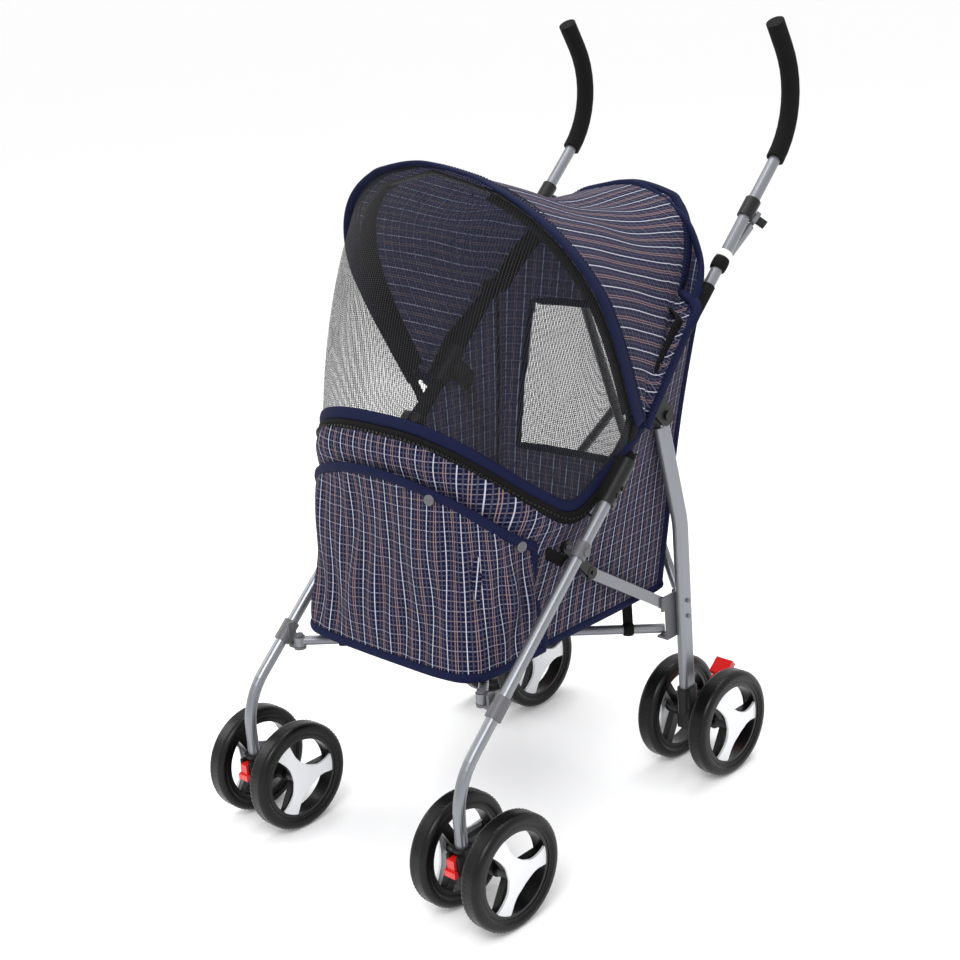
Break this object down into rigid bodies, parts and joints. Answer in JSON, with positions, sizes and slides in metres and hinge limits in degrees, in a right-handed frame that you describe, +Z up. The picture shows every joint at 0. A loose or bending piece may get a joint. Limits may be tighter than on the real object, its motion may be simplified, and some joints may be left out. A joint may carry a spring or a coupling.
{
  "type": "pet stroller",
  "caption": "Folding pet stroller: tubular side frames with crossed braces, plaid fabric cabin with canopy and mesh front, swivel twin front wheels and braked twin rear wheels.",
  "frame": {"origin": "on the ground, in the middle of the overall width and depth", "axes": "+X is across the stroller, the front faces -Y and +Z is up"},
  "size_m": [0.519, 0.7958, 1.0085],
  "materials": {
    "frame_paint": "satin",
    "foam": "matte",
    "black_plastic": "matte",
    "grey_plastic": "matte",
    "link_metal": "satin",
    "axle_steel": "satin",
    "red_plastic": "gloss",
    "tyre": "satin",
    "rim_plastic": "gloss",
    "plaid_fabric": "woven",
    "mesh_net": "net",
    "mat_fabric": "woven",
    "hoop_wire": "matte"
  },
  "bodies": {
    "cabin": {"cabin": "plaid_fabric", "floor_mat": "mat_fabric", "canopy": "plaid_fabric", "front_mesh": "mesh_net", "hoop_front": "hoop_wire", "hoop_rear": "hoop_wire"},
    "side_right": {"front_leg_right": "frame_paint", "handle_tube_right": "frame_paint", "grip_right": "foam", "lock_bracket_right": "black_plastic", "upper_hinge_right": "black_plastic", "front_bracket_right": "grey_plastic"},
    "lock_lever_right": {"lock_lever_right": "grey_plastic"},
    "rear_leg_right": {"rear_leg_right": "frame_paint", "rear_bracket_right": "grey_plastic", "rear_hub_right": "black_plastic", "rear_axle_right": "axle_steel"},
    "brake_right": {"brake_pedal_right": "red_plastic"},
    "short_link_right": {"short_link_right": "black_plastic"},
    "long_link_right": {"long_link_right": "link_metal"},
    "back_arm_right": {"back_arm_right": "link_metal"},
    "bottom_arm_right": {"bottom_arm_right": "link_metal"},
    "caster_right": {"caster_fork_right": "black_plastic", "caster_axle_right": "axle_steel"},
    "swivel_lock_right": {"swivel_lock_right": "red_plastic"},
    "wheel_front_right_outer": {"tyre_front_right_outer": "tyre", "rim_front_right_outer": "rim_plastic"},
    "wheel_front_right_inner": {"tyre_front_right_inner": "tyre", "rim_front_right_inner": "rim_plastic"},
    "wheel_rear_right_outer": {"tyre_rear_right_outer": "tyre", "rim_rear_right_outer": "rim_plastic"},
    "wheel_rear_right_inner": {"tyre_rear_right_inner": "tyre", "rim_rear_right_inner": "rim_plastic"},
    "side_left": {"front_leg_left": "frame_paint", "handle_tube_left": "frame_paint", "grip_left": "foam", "lock_bracket_left": "black_plastic", "upper_hinge_left": "black_plastic", "front_bracket_left": "grey_plastic"},
    "lock_lever_left": {"lock_lever_left": "grey_plastic"},
    "rear_leg_left": {"rear_leg_left": "frame_paint", "rear_bracket_left": "grey_plastic", "rear_hub_left": "black_plastic", "rear_axle_left": "axle_steel"},
    "brake_left": {"brake_pedal_left": "red_plastic"},
    "short_link_left": {"short_link_left": "black_plastic"},
    "long_link_left": {"long_link_left": "link_metal"},
    "back_arm_left": {"back_arm_left": "link_metal"},
    "bottom_arm_left": {"bottom_arm_left": "link_metal"},
    "caster_left": {"caster_fork_left": "black_plastic", "caster_axle_left": "axle_steel"},
    "swivel_lock_left": {"swivel_lock_left": "red_plastic"},
    "wheel_front_left_outer": {"tyre_front_left_outer": "tyre", "rim_front_left_outer": "rim_plastic"},
    "wheel_front_left_inner": {"tyre_front_left_inner": "tyre", "rim_front_left_inner": "rim_plastic"},
    "wheel_rear_left_outer": {"tyre_rear_left_outer": "tyre", "rim_rear_left_outer": "rim_plastic"},
    "wheel_rear_left_inner": {"tyre_rear_left_inner": "tyre", "rim_rear_left_inner": "rim_plastic"}
  },
  "joints": [
    {"name": "fold", "type": "slide", "parent": "cabin", "child": "side_right", "axis": [-1, 0, 0], "range_m": [0, 0.04052], "deforming": ["cabin", "floor_mat", "canopy", "front_mesh", "hoop_front", "hoop_rear"]},
    {"name": "rear_leg_right", "type": "hinge", "parent": "side_right", "child": "rear_leg_right", "pos_m": [0.182, 0.07586, 0.53521], "axis": [-1, 0, 0], "range_deg": [0, 24.01]},
    {"name": "short_link_right", "type": "hinge", "parent": "side_right", "child": "short_link_right", "pos_m": [0.179, -0.11194, 0.41052], "axis": [-1, 0, 0], "range_deg": [0, 113.1]},
    {"name": "long_link_right", "type": "hinge", "parent": "rear_leg_right", "child": "long_link_right", "pos_m": [0.169, 0.082, 0.262], "axis": [1, 0, 0], "range_deg": [0, 21.04]},
    {"name": "back_arm_right", "type": "hinge", "parent": "side_right", "child": "back_arm_right", "pos_m": [0.183, 0.29746, 0.75089], "axis": [-0.6539, -0.4381, 0.6169], "range_deg": [0, 13.01]},
    {"name": "bottom_arm_right", "type": "hinge", "parent": "side_right", "child": "bottom_arm_right", "pos_m": [0.174, -0.27766, 0.2688], "axis": [0, 0, -1], "range_deg": [0, 13.42]},
    {"name": "caster_right", "type": "hinge", "parent": "side_right", "child": "caster_right", "pos_m": [0.2, -0.358, 0.09], "axis": [0, 0, 1], "continuous": true},
    {"name": "swivel_lock_right", "type": "slide", "parent": "caster_right", "child": "swivel_lock_right", "axis": [0, 0, 1], "range_m": [0, 0.006]},
    {"name": "lock_lever_right", "type": "hinge", "parent": "side_right", "child": "lock_lever_right", "pos_m": [0.1915, -0.01536, 0.47662], "axis": [-1, 0, 0], "range_deg": [-25, 0]},
    {"name": "brake_right", "type": "hinge", "parent": "rear_leg_right", "child": "brake_right", "pos_m": [0.182, 0.156, 0.097], "axis": [-1, 0, 0], "range_deg": [0, 20]},
    {"name": "spin_front_right_outer", "type": "hinge", "parent": "caster_right", "child": "wheel_front_right_outer", "pos_m": [0.244, -0.323, 0.075], "axis": [1, 0, 0], "continuous": true},
    {"name": "spin_front_right_inner", "type": "hinge", "parent": "caster_right", "child": "wheel_front_right_inner", "pos_m": [0.156, -0.323, 0.075], "axis": [1, 0, 0], "continuous": true},
    {"name": "spin_rear_right_outer", "type": "hinge", "parent": "rear_leg_right", "child": "wheel_rear_right_outer", "pos_m": [0.226, 0.14, 0.075], "axis": [1, 0, 0], "continuous": true},
    {"name": "spin_rear_right_inner", "type": "hinge", "parent": "rear_leg_right", "child": "wheel_rear_right_inner", "pos_m": [0.138, 0.14, 0.075], "axis": [1, 0, 0], "continuous": true},
    {"name": "fold_left", "type": "slide", "parent": "cabin", "child": "side_left", "axis": [1, 0, 0], "range_m": [0, 0.04052]},
    {"name": "rear_leg_left", "type": "hinge", "parent": "side_left", "child": "rear_leg_left", "pos_m": [-0.182, 0.07586, 0.53521], "axis": [-1, 0, 0], "range_deg": [0, 24.01]},
    {"name": "short_link_left", "type": "hinge", "parent": "side_left", "child": "short_link_left", "pos_m": [-0.179, -0.11194, 0.41052], "axis": [-1, 0, 0], "range_deg": [0, 113.1]},
    {"name": "long_link_left", "type": "hinge", "parent": "rear_leg_left", "child": "long_link_left", "pos_m": [-0.169, 0.082, 0.262], "axis": [1, 0, 0], "range_deg": [0, 21.04]},
    {"name": "back_arm_left", "type": "hinge", "parent": "side_left", "child": "back_arm_left", "pos_m": [-0.183, 0.29746, 0.75089], "axis": [-0.6539, 0.4381, -0.6169], "range_deg": [0, 13.01]},
    {"name": "bottom_arm_left", "type": "hinge", "parent": "side_left", "child": "bottom_arm_left", "pos_m": [-0.174, -0.27766, 0.2538], "axis": [0, 0, 1], "range_deg": [0, 13.42]},
    {"name": "caster_left", "type": "hinge", "parent": "side_left", "child": "caster_left", "pos_m": [-0.2, -0.358, 0.09], "axis": [0, 0, 1], "continuous": true},
    {"name": "swivel_lock_left", "type": "slide", "parent": "caster_left", "child": "swivel_lock_left", "axis": [0, 0, 1], "range_m": [0, 0.006]},
    {"name": "lock_lever_left", "type": "hinge", "parent": "side_left", "child": "lock_lever_left", "pos_m": [-0.1915, -0.01536, 0.47662], "axis": [-1, 0, 0], "range_deg": [-25, 0]},
    {"name": "brake_left", "type": "hinge", "parent": "rear_leg_left", "child": "brake_left", "pos_m": [-0.182, 0.156, 0.097], "axis": [-1, 0, 0], "range_deg": [0, 20]},
    {"name": "spin_front_left_outer", "type": "hinge", "parent": "caster_left", "child": "wheel_front_left_outer", "pos_m": [-0.244, -0.323, 0.075], "axis": [1, 0, 0], "continuous": true},
    {"name": "spin_front_left_inner", "type": "hinge", "parent": "caster_left", "child": "wheel_front_left_inner", "pos_m": [-0.156, -0.323, 0.075], "axis": [1, 0, 0], "continuous": true},
    {"name": "spin_rear_left_outer", "type": "hinge", "parent": "rear_leg_left", "child": "wheel_rear_left_outer", "pos_m": [-0.226, 0.14, 0.075], "axis": [1, 0, 0], "continuous": true},
    {"name": "spin_rear_left_inner", "type": "hinge", "parent": "rear_leg_left", "child": "wheel_rear_left_inner", "pos_m": [-0.138, 0.14, 0.075], "axis": [1, 0, 0], "continuous": true}
  ],
  "couplings": [
    {"joint": "rear_leg_right", "follows": "fold", "rad_per_m": 10.338},
    {"joint": "short_link_right", "follows": "fold", "rad_per_m": 48.696},
    {"joint": "long_link_right", "follows": "fold", "rad_per_m": 9.0407},
    {"joint": "back_arm_right", "follows": "fold", "rad_per_m": 5.5967},
    {"joint": "bottom_arm_right", "follows": "fold", "rad_per_m": 5.7718},
    {"joint": "fold_left", "follows": "fold", "ratio": 1},
    {"joint": "rear_leg_left", "follows": "fold", "rad_per_m": 10.338},
    {"joint": "short_link_left", "follows": "fold", "rad_per_m": 48.696},
    {"joint": "long_link_left", "follows": "fold", "rad_per_m": 9.0407},
    {"joint": "back_arm_left", "follows": "fold", "rad_per_m": 5.5967},
    {"joint": "bottom_arm_left", "follows": "fold", "rad_per_m": 5.7718}
  ]
}
